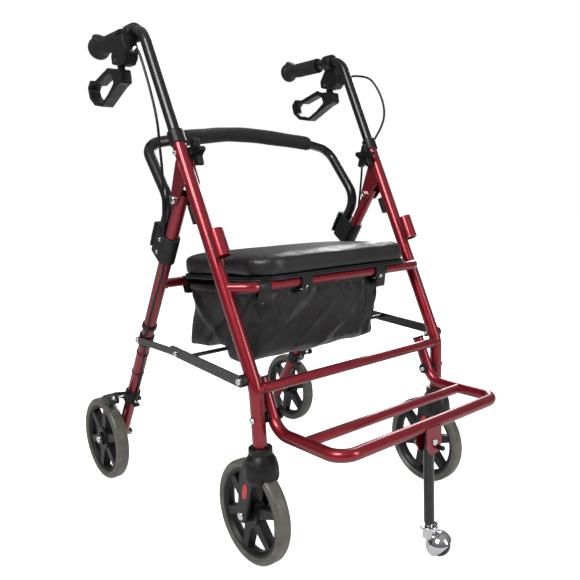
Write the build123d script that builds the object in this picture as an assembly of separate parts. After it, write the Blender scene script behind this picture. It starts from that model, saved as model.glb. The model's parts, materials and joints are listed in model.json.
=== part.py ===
from build123d import *
import os
from math import cos, radians, sin, sqrt, tan

# Four-wheeled walker with a seat, a folding footrest and a drop-down support leg.
# +Z up, +X to the walker's left, front of the walker towards -Y.  Millimetres.
# The written nodes have their origin on the ground at the middle of the bounding box;
# the Y values below start halfway between the rear axle and the front swivel axes.

# ---- driving dimensions ----
WHEEL_R = 95.0
TYRE_W = 30.0
TYRE_DEPTH = 15.0
HUB_HALF_W = 17.0
SPOKE_T = 17.0
LEG_D = 25.4
TUBE_WALL = 1.5
HANDLE_D = 22.2
CROSS_D = 19.0
FOOTREST_D = 22.2
BACKREST_D = 22.0
RUN = 0.06            # radial running clearance of pins in holes
SLIDE_GAP = 0.1       # radial clearance of telescoping tubes

# side frames lean outwards: x = SIDE_X0 + SPLAY * z
SIDE_X0 = 232.6
SPLAY = 0.02207

# points of the left side frame as (y, z)
LEG_TOP = (-85.0, 752.7)
LEG_BEND = (-283.0, 328.0)
CASTER_Y = -284.0
CASTER_X = 237.0
CUP_TOP_Z = 224.0
CUP_LOW_Z = 212.0
HINGE = (-79.4, 647.6)
REAR_AXLE = (292.0, WHEEL_R)
REAR_WHEEL_X = 274.0
HANDLE_Z = 967.0
HANDLE_END_Y = 218.0
HANDLE_INSERT = 160.0

# cross members as (y, z)
SEAT_TUBE = (-244.0, 493.4)
REAR_TUBE = (32.8, 480.0)
LOW_BAR = (-285.5, 325.0)

# fold links
LINK_FRONT = (-268.9, 341.8)
LINK_KNEE = (-54.1, 353.9)
LINK_REAR = (117.0, 354.0)
ROD_AT = (-99.1, 356.0)
INNER_LINK_X = 257.6
OUTER_LINK_X = 261.2
LINK_T = 3.0

# footrest
FOOT_X = 209.0
FOOT_PIVOT = (-285.0, 273.2)
FOOT_TOP = (-259.0, 333.0)
FOOT_Z = 244.5
FOOT_FRONT_Y = -460.6
FOOT_BAR_Y = -368.8

# support leg
SUPPORT_PIVOT_Z = 216.0
SUPPORT_LEG_D = 19.0
SUPPORT_LOW_Z = 61.0
BALL_R = 20.0
BALL_TRAIL = 18.0
BALL_TURN = 37.0      # how far the ball caster stands turned to the left at rest

# seat, tilted so that it rests on both seat tubes
SEAT_HALF_W = 206.0
SEAT_DEPTH = 306.0
SEAT_FRONT = -14.0
SEAT_CORNER_R = 58.0
BOARD_T = 6.0
CUSHION_T = 36.0
CLAMP_X = 97.0

# how far the nodes are moved back as they are written
ORIGIN_SHIFT = 56.0

# bag, hung off-centre on its loops
BAG_X = (-190.0, 127.0)
BAG_WALL = 3.0

# height knob
KNOB_Z = 732.0
KNOB_R = 27.0
KNOB_X = (213.0, 226.0)

# cane sleeve on the front leg
SLEEVE_Z = 560.2
SLEEVE_D = 28.6
SLEEVE_LENGTH = 50.0
COLLAR_D = 31.0

# brake lever and its housing
LEVER_PIVOT = (78.0, 917.0)
LEVER_X = (262.0, 284.0)
TONGUE_X = (268.0, 276.0)

# sockets of the backrest on the rear legs
RECEIVER_Z = (530.0, 578.0)
BACKREST_OFFSET = 33.0
RELEASE_OFFSET = 53.5

# brake shoe and bracket
BRAKE_Z = 206.0
SHOE_PIVOT = (203.0, 214.0)
LUG_T = 5.0

# front fork
CASTER_TRAIL = 30.0
FORK_GAP = 18.0
FORK_ARM_T = 8.5

LEG_DIR = Vector(0, LEG_TOP[0] - LEG_BEND[0], LEG_TOP[1] - LEG_BEND[1]).normalized()
REAR_DIR = Vector(0, HINGE[0] - REAR_AXLE[0], HINGE[1] - REAR_AXLE[1]).normalized()
REAR_NORMAL = Vector(0, REAR_DIR.Z, -REAR_DIR.Y)
LEG_SLOPE = (LEG_TOP[0] - LEG_BEND[0]) / (LEG_TOP[1] - LEG_BEND[1])
REAR_SLOPE = (HINGE[0] - REAR_AXLE[0]) / (HINGE[1] - REAR_AXLE[1])


# ---- helpers ----
def side_x(z):
    return SIDE_X0 + SPLAY * z


def at_side(y, z):
    """Point of the left side frame's plane."""
    return Vector(side_x(z), y, z)


def leg_y(z):
    return LEG_TOP[0] + (z - LEG_TOP[1]) * LEG_SLOPE


def rear_leg_y(z):
    return HINGE[0] + (z - HINGE[1]) * REAR_SLOPE


def both(part):
    """The left part and its mirror image as one group."""
    return group(part, mirrored(part))


def mirrored(part):
    return mirror(part, about=Plane.YZ)


def group(*parts):
    return Compound(children=[solid for part in parts for solid in part.solids()])


def bent_path(points, radii):
    """Straight runs joined by arcs; one radius for each inner point."""
    points = [Vector(*p) for p in points]
    edges = []
    start = points[0]
    for before, corner, after, radius in zip(points, points[1:], points[2:], radii):
        u = (before - corner).normalized()
        v = (after - corner).normalized()
        half = radians(u.get_angle(v)) / 2
        reach = radius / tan(half)
        first = corner + u * reach
        last = corner + v * reach
        middle = corner + (u + v).normalized() * (radius / sin(half) - radius)
        edges.append(Line(start, first))
        edges.append(ThreePointArc(first, middle, last))
        start = last
    edges.append(Line(start, points[-1]))
    return Wire([edge.edge() for edge in edges])


def tube(path, outer, inner=0.0):
    section_plane = Plane(path @ 0, z_dir=path % 0)
    section = section_plane * Circle(outer / 2)
    if inner:
        section -= section_plane * Circle(inner / 2)
    return sweep(section, path=path)


def rod(start, end, diameter):
    start = Vector(*start)
    end = Vector(*end)
    plane = Plane(start, z_dir=end - start)
    return extrude(plane * Circle(diameter / 2), (end - start).length)


def rod_x(yz, x0, x1, diameter):
    return rod((x0, yz[0], yz[1]), (x1, yz[0], yz[1]), diameter)


def ring(start, end, outer, inner):
    return rod(start, end, outer) - rod(start, end, inner)


def ring_x(yz, x0, x1, outer, inner):
    return rod_x(yz, x0, x1, outer) - rod_x(yz, x0, x1, inner)


def yz_plane(x):
    """Sketch plane facing +X with sketch x along +Y and sketch y along +Z."""
    return Plane(origin=(x, 0, 0), x_dir=(0, 1, 0), z_dir=(1, 0, 0))


def plate(outline, x0, x1):
    return extrude(yz_plane(x0) * outline, x1 - x0)


def hull(*circles):
    """Convex outline around circles given as (y, z, radius)."""
    edges = [(Pos(y, z) * Circle(r)).edge() for y, z, r in circles]
    return make_hull(edges)


def polygon(*points):
    return make_face(Polyline(*points, close=True))


def hex_nut(yz, x0, x1, across):
    outline = Pos(yz[0], yz[1]) * RegularPolygon(across / 2, 6, major_radius=False)
    return plate(outline, x0, x1)


def dome_head(yz, x0, x1, diameter):
    """Bolt head with a rounded outer edge, from its seat x0 to its crown x1."""
    head = rod_x(yz, x0, x1, diameter)
    crown = head.faces().sort_by(Axis.X)[-1 if x1 > x0 else 0]
    return fillet(crown.edges(), abs(x1 - x0) * 0.7)


# ---- front frame ----
def leg_axis():
    return bent_path(
        [at_side(*LEG_TOP), at_side(*LEG_BEND), (CASTER_X, CASTER_Y, CUP_LOW_Z + 2.6)], [75])


def leg_line():
    """Direction of the front leg's straight run, splay included."""
    return (at_side(*LEG_TOP) - at_side(*LEG_BEND)).normalized()


def cane_sleeve():
    """Short open tube welded to the front of the leg, parallel to it."""
    weld_overlap = 0.3
    normal = Vector(0, -LEG_DIR.Z, LEG_DIR.Y)
    offset = (LEG_D + SLEEVE_D) / 2 - weld_overlap
    middle = at_side(leg_y(SLEEVE_Z), SLEEVE_Z) + normal * offset
    reach = leg_line() * SLEEVE_LENGTH / 2
    ends = (middle - reach, middle + reach)
    return rod(*ends, SLEEVE_D), rod(*ends, HANDLE_D + 2 * SLIDE_GAP)


def hinge_plates():
    """Pair of bracket plates that hold the rear leg's pivot behind the front leg."""
    x = side_x(HINGE[1])
    low = (leg_y(678) + 3, 678)
    high = (leg_y(712) + 3, 712)
    outline = hull((*HINGE, 12), (*low, 6), (*high, 7))
    inner = LEG_D / 2 + 0.7
    plates = plate(outline, x + inner, x + inner + 2.5) + plate(outline, x - inner - 2.5, x - inner)
    strip_low = at_side(leg_y(674), 674)
    strip_high = at_side(leg_y(712), 712)
    for sign in (-1, 1):
        step = Vector(sign * (LEG_D / 2 + 0.6), 0, 0)
        plates += rod(strip_low + step, strip_high + step, 4.5)
    return plates


def seat_tube_path():
    z = SEAT_TUBE[1]
    end = (side_x(z), leg_y(z))
    return bent_path(
        [(-end[0], end[1], z), (-214, SEAT_TUBE[0], z), (214, SEAT_TUBE[0], z), (end[0], end[1], z)],
        [26, 26])


def front_frame():
    leg = leg_axis()
    sleeve, sleeve_bore = cane_sleeve()
    half = tube(leg, LEG_D) + hinge_plates() + sleeve
    frame = half + mirrored(half)
    frame += tube(seat_tube_path(), CROSS_D)
    frame += rod_x(LOW_BAR, -side_x(LOW_BAR[1]), side_x(LOW_BAR[1]), CROSS_D)
    bores = tube(leg, LEG_D - 2 * TUBE_WALL) + sleeve_bore
    x = side_x(HINGE[1])
    bores += rod_x(HINGE, x - 20, x + 20, 8.02)
    bores += rod_x(LINK_FRONT, 222, 258, 6.02)
    bores += rod_x(FOOT_PIVOT, 222, 258, 6.02)
    bores += rod_x((leg_y(KNOB_Z), KNOB_Z), side_x(KNOB_Z) - 16, side_x(KNOB_Z) + 16, 6.2)
    return frame - bores - mirrored(bores)


def socket_collar():
    """Plastic collar on the leg's open top, guiding the handle tube."""
    top = at_side(*LEG_TOP)
    direction = leg_line()
    low = top - direction * 6
    seat = top + direction * 0.2
    high = top + direction * 21
    body = rod(low, high, COLLAR_D)
    body = fillet(body.edges().filter_by(GeomType.CIRCLE), 2.5)
    return body - rod(low, seat, LEG_D + 0.1) - rod(seat, high, HANDLE_D + 2 * SLIDE_GAP)


def stop_bumper():
    """Rubber block behind the leg under the hinge bracket."""
    direction = leg_line()
    normal = Vector(0, LEG_DIR.Z, -LEG_DIR.Y)
    centre = at_side(leg_y(629), 629) + normal * (LEG_D / 2 + 6.2)
    outline = Plane(centre - direction * 17, x_dir=(0, 1, 0), z_dir=direction) * RectangleRounded(12, 16, 3)
    return extrude(outline, 34)


def hinge_bolt():
    x = side_x(HINGE[1])
    shank = rod_x(HINGE, x - 20, x + 16, 8)
    bolt = shank + dome_head(HINGE, x + 16, x + 21, 16)
    nut = hex_nut(HINGE, x - 21.5, x - 15.95, 13) - rod_x(HINGE, x - 23, x - 14, 8.02)
    return group(bolt, nut)


def pivot_bolt(yz, x0, x1, diameter=6.0, head=13.0):
    return rod_x(yz, x0, x1, diameter) + dome_head(yz, x1, x1 + 3.5, head)


def footrest_bolt():
    inner = FOOT_X - FOOTREST_D / 2 - 5.6
    shank = rod_x(FOOT_PIVOT, inner, 251.8, 6)
    return shank + dome_head(FOOT_PIVOT, 251.8, 255.5, 12) + dome_head(FOOT_PIVOT, inner, inner - 3, 10)


def frame_bolts():
    link = pivot_bolt(LINK_FRONT, 226, OUTER_LINK_X + LINK_T + 0.2)
    link += hex_nut(LINK_FRONT, 221.5, 226.5, 10)
    return both(group(hinge_bolt(), link, footrest_bolt(), collar_rivet()))


def collar_rivet():
    yz = (leg_y(KNOB_Z), KNOB_Z)
    x = side_x(KNOB_Z) + LEG_D / 2 + 0.1
    return dome_head(yz, x, x + 4, 9) + rod_x(yz, x - 1.4, x + 1, 5.6)


def footrest_spacer():
    outer_face = side_x(FOOT_PIVOT[1]) - LEG_D / 2
    outboard = ring_x(FOOT_PIVOT, FOOT_X + FOOTREST_D / 2 + 0.2, outer_face - 0.8, 19, 6.04)
    inboard = ring_x(FOOT_PIVOT, FOOT_X - FOOTREST_D / 2 - 5.2, FOOT_X - FOOTREST_D / 2 - 0.2, 21, 6.04)
    return group(outboard, inboard)


# ---- casters ----
def caster_point(z):
    return (CASTER_X, CASTER_Y, z)


def caster_cup():
    cup = rod(caster_point(CUP_LOW_Z), caster_point(CUP_TOP_Z), 42)
    cup = fillet(cup.edges().sort_by(Axis.Z)[-1], 2.5)
    socket = rod(caster_point(CUP_LOW_Z + 2), caster_point(CUP_TOP_Z + 1), LEG_D + 0.9)
    return cup - socket - rod(caster_point(CUP_LOW_Z - 1), caster_point(CUP_TOP_Z), 10.04)


def caster_stem():
    """Swivel stem: a plug in the leg's end and a pin that carries the bearings."""
    pin = rod(caster_point(197), caster_point(CUP_LOW_Z + 4), 10)
    plug = rod(caster_point(CUP_LOW_Z + 3), caster_point(CUP_LOW_Z + 19), LEG_D - 2 * TUBE_WALL - 1)
    return pin + plug


def caster_bearings():
    low = ring(caster_point(197.2), caster_point(203.6), 24, 10.02)
    high = ring(caster_point(204.2), caster_point(210.6), 24, 10.02)
    return group(low, high)


def front_wheel_centre():
    return (CASTER_Y + CASTER_TRAIL, WHEEL_R)


def fork_crown():
    """Domed crown, turned about the swivel axis."""
    profile = make_face([
        Polyline((0, 160), (0, 211.6), (20.5, 211.6)).wire(),
        ThreePointArc((20.5, 211.6), (28.5, 196), (31, 178)),
        ThreePointArc((31, 178), (30, 167), (25, 160)),
        Line((25, 160), (0, 160)),
    ])
    crown = revolve(Plane.XZ * profile, Axis.Z)
    return Pos(CASTER_X, CASTER_Y, 0) * crown


def fork():
    """Left front fork: crown and two arms around the wheel."""
    y, z = front_wheel_centre()
    outline = hull((y, z, 13.5), (CASTER_Y + 11, 168, 20), (CASTER_Y + 2, 190, 16))
    arms = plate(outline, CASTER_X + FORK_GAP, CASTER_X + FORK_GAP + FORK_ARM_T)
    arms += plate(outline, CASTER_X - FORK_GAP - FORK_ARM_T, CASTER_X - FORK_GAP)
    arms = fillet(arms.edges().filter_by(GeomType.CIRCLE).sort_by(Axis.Z)[:4], 2.5)
    body = fork_crown() + arms
    clearance = rod_x((y, z), CASTER_X - FORK_GAP, CASTER_X + FORK_GAP, 2 * (WHEEL_R + 3))
    body -= clearance
    body -= rod(caster_point(196.5), caster_point(213), 24 + 2 * RUN)
    return body - rod_x((y, z), CASTER_X - 40, CASTER_X + 40, 8.02)


def fork_axle():
    yz = front_wheel_centre()
    reach = FORK_GAP + FORK_ARM_T
    axle = rod_x(yz, CASTER_X - reach, CASTER_X + reach, 8)
    axle += dome_head(yz, CASTER_X + reach, CASTER_X + reach + 3.5, 15)
    return axle + dome_head(yz, CASTER_X - reach, CASTER_X - reach - 3.5, 15)


# ---- wheels ----
def wheel_rim(x, yz, axle_d):
    """Six-spoke rim about an X axis."""
    outer = WHEEL_R - TYRE_DEPTH
    profile = make_face(Polyline(
        (outer, -11), (outer, 11), (outer - 4, 11), (outer - 9, 5), (outer - 9, -5), (outer - 4, -11),
        close=True))
    rim = revolve(Plane.XZ * profile, Axis.Z)
    hub = Cylinder(15, 2 * HUB_HALF_W) + Cylinder(26, 22)
    spoke_outline = polygon((12, -11), (outer - 7, -7), (outer - 7, 7), (12, 11))
    spoke = extrude(Pos(0, 0, -SPOKE_T / 2) * spoke_outline, SPOKE_T)
    wheel = rim + hub
    for angle in range(0, 360, 60):
        wheel += Rot(0, 0, angle + 15) * spoke
    wheel -= Cylinder(axle_d / 2 + RUN, 3 * HUB_HALF_W)
    return Pos(x, *yz) * Rot(0, 90, 0) * wheel


def tyre(x, yz):
    inner = WHEEL_R - TYRE_DEPTH
    half = TYRE_W / 2
    section = make_face(Polyline(
        (inner, -10.5), (WHEEL_R - 10, -half), (WHEEL_R, -half), (WHEEL_R, half),
        (WHEEL_R - 10, half), (inner, 10.5), close=True))
    section = fillet(section.vertices().filter_by_position(Axis.X, WHEEL_R - 0.1, WHEEL_R + 0.1), 9)
    ring_part = revolve(Plane.XZ * section, Axis.Z)
    return Pos(x, *yz) * Rot(0, 90, 0) * ring_part


# ---- handles ----
def handle_axis():
    start = at_side(*LEG_TOP) - leg_line() * HANDLE_INSERT
    corner = at_side(leg_y(HANDLE_Z), HANDLE_Z)
    return bent_path([start, corner, (corner.X, HANDLE_END_Y, HANDLE_Z)], [42])


def grip_section():
    """Half profile of the ribbed grip: distance along the tube and radius."""
    points = [(0, 16.5), (5, 17.5), (10, 17.5), (13, 15.5)]
    for rib in range(5):
        start = 16 + rib * 14
        points += [(start, 15.5), (start + 4, 17.2), (start + 8, 17.2), (start + 12, 15.5)]
    points += [(92, 15.5), (106, 17.5), (116, 22.5), (121, 23.5), (126, 22)]
    return points


def grip():
    """Ribbed hand grip with a flared, closed end."""
    start_y = 96.0
    x = side_x(HANDLE_Z)
    outline = polygon((0, 0), *grip_section(), (126, 0))
    turned = revolve(Plane.XY * outline, Axis.X)
    placed = Plane(origin=(x, start_y, HANDLE_Z), x_dir=(0, 1, 0), z_dir=(1, 0, 0)) * turned
    return placed - rod((x, start_y - 1, HANDLE_Z), (x, HANDLE_END_Y + 0.5, HANDLE_Z), HANDLE_D + 0.1)


def brake_housing():
    """Clamp ring on the handle tube with the lever housing hanging from it."""
    x = side_x(HANDLE_Z)
    clamp = rod((x, 42, HANDLE_Z), (x, 70, HANDLE_Z), 36)
    clamp = fillet(clamp.edges().filter_by(GeomType.CIRCLE), 3)
    outline = polygon((44, 960), (72, 960), (96, 928), (94, 912), (70, 906), (48, 906), (36, 916), (32, 936))
    outline = fillet(outline.vertices(), 4)
    body = plate(outline, 256, LEVER_X[1])
    body = fillet(body.edges().filter_by(GeomType.LINE).filter_by(Axis.X, reverse=True), 2)
    body += clamp
    body -= tube(handle_axis(), HANDLE_D + 0.1)
    slot = plate(polygon((58, 900), (100, 900), (100, 931), (58, 931)), TONGUE_X[0] - 0.5, TONGUE_X[1] + 0.5)
    barrel_seat = rod((272, 20, 928), (272, 46, 928), 9.02)
    return body - slot - barrel_seat - rod_x(LEVER_PIVOT, 250, 290, 5.02)


def brake_hardware():
    """Chrome cable adjuster and the lever's pivot pin."""
    barrel = rod((272, 18, 928), (272, 45, 928), 9)
    barrel += rod((272, 12, 928), (272, 22, 928), 11)
    pin = rod_x(LEVER_PIVOT, 255, 285, 5)
    return group(barrel, pin)


def brake_lever():
    """Closed loop lever with a wide band and a tongue on the pivot pin."""
    outline = polygon(
        (60, 899), (98, 903), (114, 909), (178, 893), (204, 897), (219, 884),
        (213, 862), (190, 845), (152, 838), (118, 852), (80, 868), (56, 874))
    opening = polygon(
        (113, 898), (174, 884), (198, 887), (209, 878), (204, 865), (184, 853),
        (152, 846), (120, 860), (92, 877), (100, 892))
    outline = fillet(outline.vertices(), 6)
    opening = fillet(opening.vertices(), 5)
    band = plate(outline, *LEVER_X) - plate(opening, LEVER_X[0] - 1, LEVER_X[1] + 1)
    tongue = plate(hull((*LEVER_PIVOT, 8), (78, 892, 9)), *TONGUE_X)
    return band + tongue - rod_x(LEVER_PIVOT, 250, 290, 5 + 2 * RUN)


def height_knob():
    """Five-lobed knob whose stud bears on the handle tube through the leg wall."""
    x = side_x(KNOB_Z)
    yz = (leg_y(KNOB_Z), KNOB_Z)
    tip_r = 5.0
    lobe = make_hull([Circle(12).edge(), (Pos(KNOB_R - tip_r, 0) * Circle(tip_r)).edge()])
    lobes = Circle(12)
    for angle in range(0, 360, 72):
        lobes += Rot(0, 0, angle + 18) * lobe
    star = plate(Pos(*yz) * lobes, *KNOB_X)
    star = fillet(star.faces().sort_by(Axis.X)[0].edges(), 2)
    hub = rod_x(yz, KNOB_X[0] - 5, KNOB_X[0] + 1, 14)
    hub += rod_x(yz, KNOB_X[1] - 1, x - LEG_D / 2 - 0.6, 14)
    stud = rod_x(yz, 229, x - HANDLE_D / 2 - 0.12, 6)
    return star + hub + stud


# ---- rear frame ----
def rear_point(z):
    return at_side(rear_leg_y(z), z)


def rear_frame():
    """Two rear legs joined by the rear seat tube."""
    direction = (rear_point(HINGE[1]) - rear_point(WHEEL_R)).normalized()
    top = rear_point(HINGE[1]) + direction * 15
    bottom = rear_point(WHEEL_R) - direction * 20
    frame = rod(bottom, top, LEG_D)
    frame += mirrored(frame)
    frame += rod_x(REAR_TUBE, -side_x(REAR_TUBE[1]), side_x(REAR_TUBE[1]), CROSS_D)
    bore = rod(bottom, top, LEG_D - 2 * TUBE_WALL)
    x = side_x(HINGE[1])
    bore += rod_x(HINGE, x - 20, x + 20, 8 + 2 * RUN)
    bore += rod_x(REAR_AXLE, 215, 255, 10.02)
    return frame - bore - mirrored(bore)


def rear_axle():
    """Stub axle through the rear leg with a spacer and a domed head."""
    axle = rod_x(REAR_AXLE, 219, REAR_WHEEL_X + HUB_HALF_W + 2, 10)
    axle += rod_x(REAR_AXLE, side_x(WHEEL_R) + LEG_D / 2 + 0.2, REAR_WHEEL_X - HUB_HALF_W - 0.4, 17)
    axle += dome_head(REAR_AXLE, REAR_WHEEL_X + HUB_HALF_W + 0.4, REAR_WHEEL_X + HUB_HALF_W + 5, 18)
    return axle + hex_nut(REAR_AXLE, 213, 220.5, 15)


def leg_sleeve(z_low, z_high, outer):
    """Sleeve around the rear leg between two heights."""
    return ring(rear_point(z_low), rear_point(z_high), outer, LEG_D + 0.1)


def link_clamp():
    clamp = leg_sleeve(344, 364, 31.5)
    clip = leg_sleeve(382, 389, 31)
    return group(clamp, clip)


def receiver_plane():
    """Plane across the rear leg, sketch x along +X and sketch y away from the front leg."""
    low = rear_point(RECEIVER_Z[0])
    axis = rear_point(RECEIVER_Z[1] + 100) - low
    return Plane(low, x_dir=(1, 0, 0), z_dir=axis)


def receiver_length():
    return (rear_point(RECEIVER_Z[1]) - rear_point(RECEIVER_Z[0])).length


def backrest_receiver():
    """Sleeve on the rear leg with a socket behind it for the backrest tube."""
    plane = receiver_plane()
    length = receiver_length()
    outline = make_hull([Circle(17).edge(), (Pos(0, BACKREST_OFFSET) * Circle(14.5)).edge()])
    body = extrude(plane * outline, length)
    body = fillet(body.faces().sort_by(Axis.Z)[-1].edges(), 2)
    body += extrude(plane * (Pos(0, RELEASE_OFFSET - 4.5) * Rectangle(8, 13)), 14)
    body -= extrude(plane * Circle(LEG_D / 2 + 0.05), length)
    low = plane.from_local_coords(Vector(0, BACKREST_OFFSET, -10))
    body -= rod(low, low + REAR_DIR * (length + 20), BACKREST_D + 2 * RUN)
    return body - rod_x(release_pivot(), 220, 270, 4.02)


def receiver_screws():
    """Two chrome screws on the outer face and the release lever's pin."""
    plane = receiver_plane()
    screws = []
    for along in (14, receiver_length() - 14):
        place = plane * Pos(16.6, 12, along) * Rot(0, 90, 0)
        head = Cylinder(4.5, 2.6, align=(Align.CENTER, Align.CENTER, Align.MIN))
        screws.append(place * fillet(head.edges().sort_by(Axis.Z)[-1], 1.2))
    x = side_x(RECEIVER_Z[0])
    return group(*screws, rod_x(release_pivot(), x - 9.5, x + 9.5, 4))


def release_pivot():
    """(y, z) of the release lever's pin, behind the receiver's lower end."""
    point = receiver_plane().from_local_coords(Vector(0, RELEASE_OFFSET, 4))
    return (point.Y, point.Z)


def release_lever():
    """Ribbed thumb lever behind the receiver, pinned at its lower end."""
    plane = receiver_plane()
    outline = Pos(0, RELEASE_OFFSET, 0) * RectangleRounded(19, 7, 2)
    body = extrude(plane * outline, 54)
    for along in range(18, 52, 6):
        rib = plane * Pos(0, RELEASE_OFFSET + 4, along) * Box(17, 3, 2.2)
        body += rib
    body -= plane * Pos(0, RELEASE_OFFSET - 4, 6) * Box(8.6, 18, 18)
    return body - rod_x(release_pivot(), 220, 270, 4 + 2 * RUN)


# ---- brakes ----


def lug_centre(z):
    """Centre of a spring lug in front of the rear leg."""
    return Vector(side_x(BRAKE_Z), rear_leg_y(z) - 21.5, z - 8)


def brake_bracket():
    """Sleeve on the rear leg with two front lugs and the shoe's pivot boss."""
    sleeve = leg_sleeve(BRAKE_Z - 12, BRAKE_Z + 12, 33)
    x = side_x(BRAKE_Z)
    lugs = [Plane(lug_centre(z), x_dir=(1, 0, 0), z_dir=REAR_DIR) * Box(13, 16, LUG_T)
            for z in (BRAKE_Z - 9, BRAKE_Z + 9)]
    boss = rod_x(SHOE_PIVOT, x - 2, 256, 15)
    body = sleeve + lugs[0] + lugs[1] + boss
    body -= rod(rear_point(BRAKE_Z - 20), rear_point(BRAKE_Z + 20), LEG_D + 0.1)
    return body - rod_x(SHOE_PIVOT, 248.5, 270, 5.02)


def shoe_pin():
    return pivot_bolt(SHOE_PIVOT, 249.6, 285.5, 5, 10)


def brake_spring():
    """Return spring between the bracket's two lugs."""
    wire_d = 1.2
    low = lug_centre(BRAKE_Z - 9)
    gap = (lug_centre(BRAKE_Z + 9) - low).length - LUG_T
    turns = Helix(pitch=2.6, height=gap - 2 * wire_d, radius=3.4)
    wire = Wire(turns.edges())
    coil = sweep(Plane(wire @ 0, z_dir=wire % 0) * Circle(wire_d / 2), path=wire, is_frenet=True)
    return Plane(low + REAR_DIR * (LUG_T / 2 + wire_d), x_dir=(1, 0, 0), z_dir=REAR_DIR) * coil


def brake_shoe():
    """Arm from the pivot out over the tyre with a pad 2 mm off the tread."""
    gap = 2.0
    arm = plate(hull((*SHOE_PIVOT, 8), (232, 207, 6), (262, 203, 4.5)), 257, 262)
    cross = plate(hull((228, 208, 5), (262, 203, 4)), 257, 285)
    pad = plate(hull((240, 196, 9), (268, 196, 7)), 262, 286)
    far_arm = plate(hull((*SHOE_PIVOT, 8), (232, 207, 6)), 280, 285)
    body = arm + cross + pad + far_arm
    body -= rod_x(REAR_AXLE, 250, 295, 2 * (WHEEL_R + gap))
    return body - rod_x(SHOE_PIVOT, 250, 295, 5 + 2 * RUN)


# ---- fold links ----
def bar(start, end, width, x0):
    return plate(hull((*start, width / 2), (*end, width / 2)), x0, x0 + LINK_T)


def front_link():
    """Long bar from the front leg to the knee, with a boss and a stop tab."""
    tip = (LINK_KNEE[0] + 14, LINK_KNEE[1] + 4)
    link = bar(LINK_FRONT, tip, 20, OUTER_LINK_X)
    link += rod_x(LINK_FRONT, side_x(LINK_FRONT[1]) + LEG_D / 2 + 0.3, OUTER_LINK_X + 1, 22)
    tab_low = LINK_KNEE[1] + 7.6
    tab = polygon(
        (LINK_KNEE[0] + 4, tab_low), (tip[0] + 8, tab_low), (tip[0] + 6, tab_low + 4),
        (LINK_KNEE[0] + 4, tab_low + 4))
    link += plate(tab, INNER_LINK_X, OUTER_LINK_X + 1)
    link -= rod_x(LINK_FRONT, 250, 270, 6 + 2 * RUN)
    return link - rod_x(LINK_KNEE, 250, 270, 6 + 2 * RUN)


def cross_rod():
    """Thin rod that ties the left and right long links together."""
    end = OUTER_LINK_X - 0.1
    return rod_x(ROD_AT, -end, end, 8)


def rear_link():
    """Short bar from the knee to the rear leg; its rear end meets the clamp with a gap."""
    link = bar(LINK_KNEE, LINK_REAR, 14, INNER_LINK_X)
    return link - rod_x(LINK_KNEE, 250, 270, 6.02) - rod_x(LINK_REAR, 250, 270, 6.02)


def link_bolts():
    knee = pivot_bolt(LINK_KNEE, INNER_LINK_X, OUTER_LINK_X + LINK_T + 0.2, 6, 12)
    knee += dome_head(LINK_KNEE, INNER_LINK_X, INNER_LINK_X - 1.4, 10)
    end = pivot_bolt(LINK_REAR, INNER_LINK_X, INNER_LINK_X + LINK_T, 6, 12)
    return both(group(knee, end))


# ---- seat ----
def seat_plane():
    """Sketch plane on the seat tubes: x across, y rearwards, tilted down to the rear."""
    front = Vector(0, SEAT_TUBE[0], SEAT_TUBE[1] + CROSS_D / 2 + 0.4)
    rear = Vector(0, REAR_TUBE[0], REAR_TUBE[1] + CROSS_D / 2 + 0.4)
    along = rear - front
    normal = Vector(1, 0, 0).cross(along)
    return Plane(front, x_dir=(1, 0, 0), z_dir=normal)


def seat_slab(inset, low, high):
    width = 2 * (SEAT_HALF_W - inset)
    depth = SEAT_DEPTH - 2 * inset
    outline = Pos(0, SEAT_FRONT + SEAT_DEPTH / 2) * RectangleRounded(width, depth, SEAT_CORNER_R - inset)
    return extrude(seat_plane() * Pos(0, 0, low) * outline, high - low)


def seat_board():
    return seat_slab(5, 0, BOARD_T)


def seat_cushion():
    cushion = seat_slab(0, BOARD_T + 0.2, BOARD_T + CUSHION_T)
    top = cushion.faces().sort_by(Axis.Z)[-1]
    return fillet(top.edges(), 11)


def seat_clamp():
    """Plastic saddle that lets the seat turn on the front tube."""
    across = 24
    plane = yz_plane(CLAMP_X - across / 2)
    saddle = make_hull([
        (Pos(*SEAT_TUBE) * Circle(14.5)).edge(),
        (Pos(SEAT_TUBE[0] + 16, SEAT_TUBE[1] + 6.5) * Circle(2)).edge(),
        (Pos(SEAT_TUBE[0] - 12, SEAT_TUBE[1] + 7.3) * Circle(2)).edge(),
    ])
    body = extrude(plane * saddle, across)
    above_board = seat_plane() * Pos(0, 0, 20.0) * Box(600, 600, 40.0)
    body -= above_board
    return body - rod_x(SEAT_TUBE, CLAMP_X - 20, CLAMP_X + 20, CROSS_D + 2 * RUN)


def seat_screws():
    """Chrome screw heads under and in front of the clamp."""
    screws = []
    for angle in (-140, -65):
        direction = Vector(0, cos(radians(angle)), sin(radians(angle)))
        start = Vector(CLAMP_X, *SEAT_TUBE) + direction * 14.7
        screws.append(rod(start, start + direction * 2.6, 8))
    return group(*screws)


# ---- bag ----
def bag_outline():
    """Side outline of the bag, open at the top, resting over the cross rod."""
    return [(-233, 474), (-222, 430), (-204, 356), (-160, 341), (-122, 344), (-112, 363), (-86, 363),
            (-40, 352), (26, 348), (20, 400), (6, 428), (26, 462)]


def bag():
    """Open-topped tote between the seat tubes."""
    outline = polygon(*bag_outline())
    outer = plate(outline, *BAG_X)
    inside = (BAG_X[0] + BAG_WALL, BAG_X[1] - BAG_WALL)
    inner = plate(offset(outline, amount=-BAG_WALL, kind=Kind.INTERSECTION), *inside)
    mouth = plate(polygon((-228, 473), (20, 462), (18, 480), (-226, 480)), *inside)
    return outer - inner - mouth


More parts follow.
